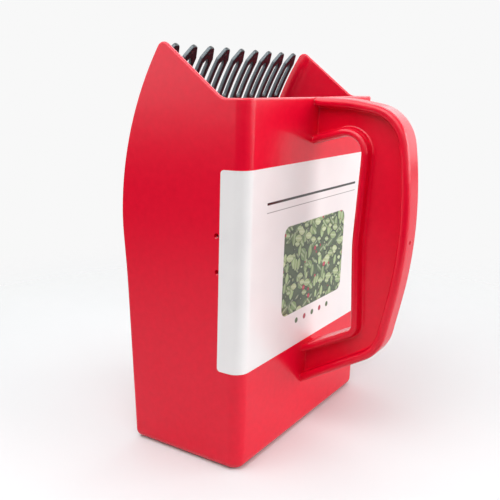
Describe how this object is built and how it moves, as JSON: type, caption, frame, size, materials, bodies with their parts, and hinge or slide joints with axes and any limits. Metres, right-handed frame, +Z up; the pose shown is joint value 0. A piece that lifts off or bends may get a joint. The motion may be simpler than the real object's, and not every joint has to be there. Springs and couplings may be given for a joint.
{
  "type": "berry picking rake",
  "caption": "Hand-held berry picking rake: deep moulded scoop with pointed cheeks, a loop grip and a comb of slotted tines across the mouth.",
  "frame": {"origin": "centre of the flat base face that the rake stands on", "axes": "+X across the scoop, -Y towards the loop grip, +Z up from the base through the mouth"},
  "size_m": [0.1398, 0.1369, 0.2163],
  "materials": {
    "scoop_plastic": "moulded, semi-gloss red",
    "comb_plastic": "moulded, satin green-black",
    "label_film": "glossy white film label",
    "rivet_metal": "satin"
  },
  "bodies": {
    "root": {"scoop_body": "scoop_plastic", "comb": "comb_plastic", "wrap_label": "label_film", "rivet_1": "rivet_metal", "rivet_2": "rivet_metal", "rivet_3": "rivet_metal", "rivet_4": "rivet_metal", "rivet_5": "rivet_metal", "rivet_washer_1": "rivet_metal", "rivet_washer_2": "rivet_metal", "rivet_washer_3": "rivet_metal", "rivet_washer_4": "rivet_metal", "rivet_washer_5": "rivet_metal"}
  },
  "joints": []
}
